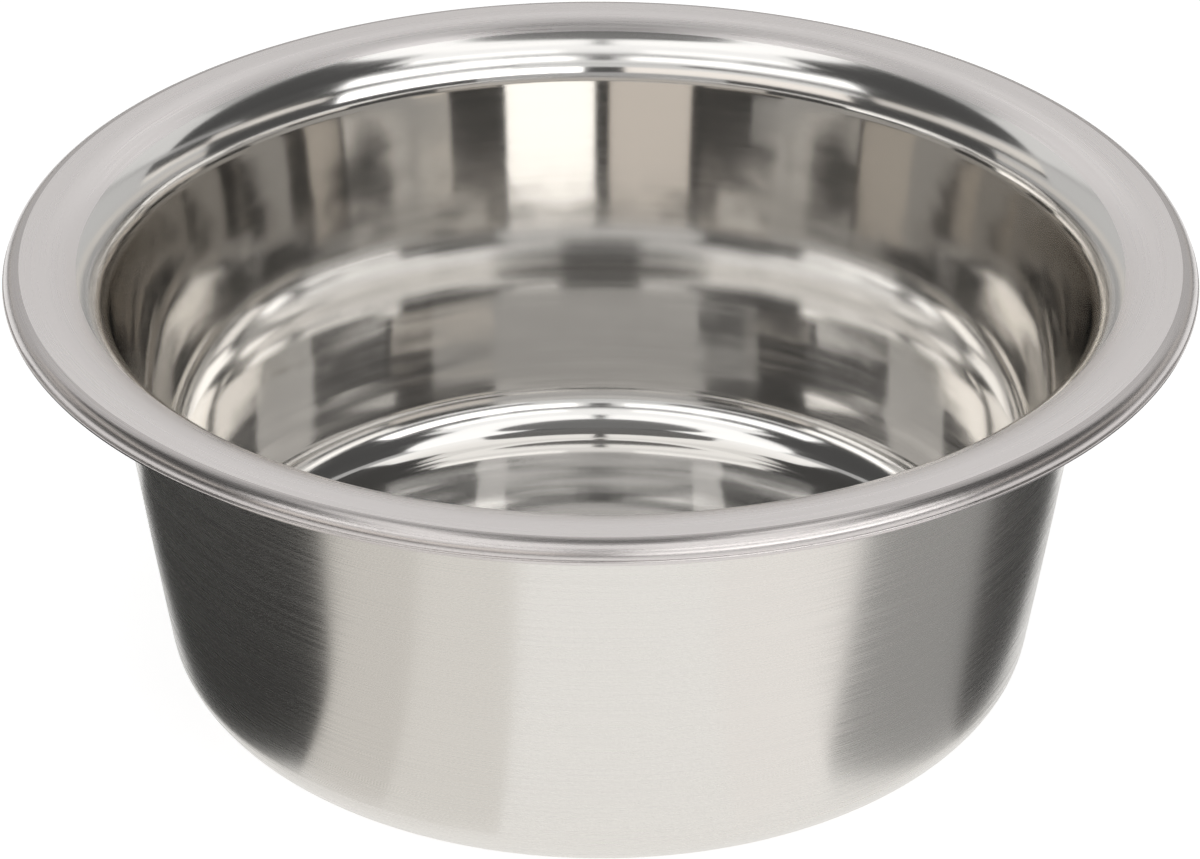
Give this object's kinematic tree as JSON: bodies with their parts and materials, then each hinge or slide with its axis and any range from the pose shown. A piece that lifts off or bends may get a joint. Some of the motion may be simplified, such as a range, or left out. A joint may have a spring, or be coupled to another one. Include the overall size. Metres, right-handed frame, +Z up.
{
  "type": "stainless dog bowl",
  "caption": "Round stainless feeding bowl: tapered deep-drawn wall, flat satin rim with a turned-down beaded edge, mirror inside, and a non-slip rubber ring under the base.",
  "frame": {"origin": "centre of the footprint, on the surface that the bowl stands on", "axes": "+Z up along the bowl's axis of revolution; X and Y are alike, and the picture looks along +Y"},
  "size_m": [0.24, 0.24, 0.0955],
  "materials": {
    "stainless_sheet": "mirror polished inside, satin brushed on the rim and outside",
    "black_rubber": "matt moulded"
  },
  "bodies": {
    "root": {"bowl_shell": "stainless_sheet", "non_slip_ring": "black_rubber"}
  },
  "joints": []
}
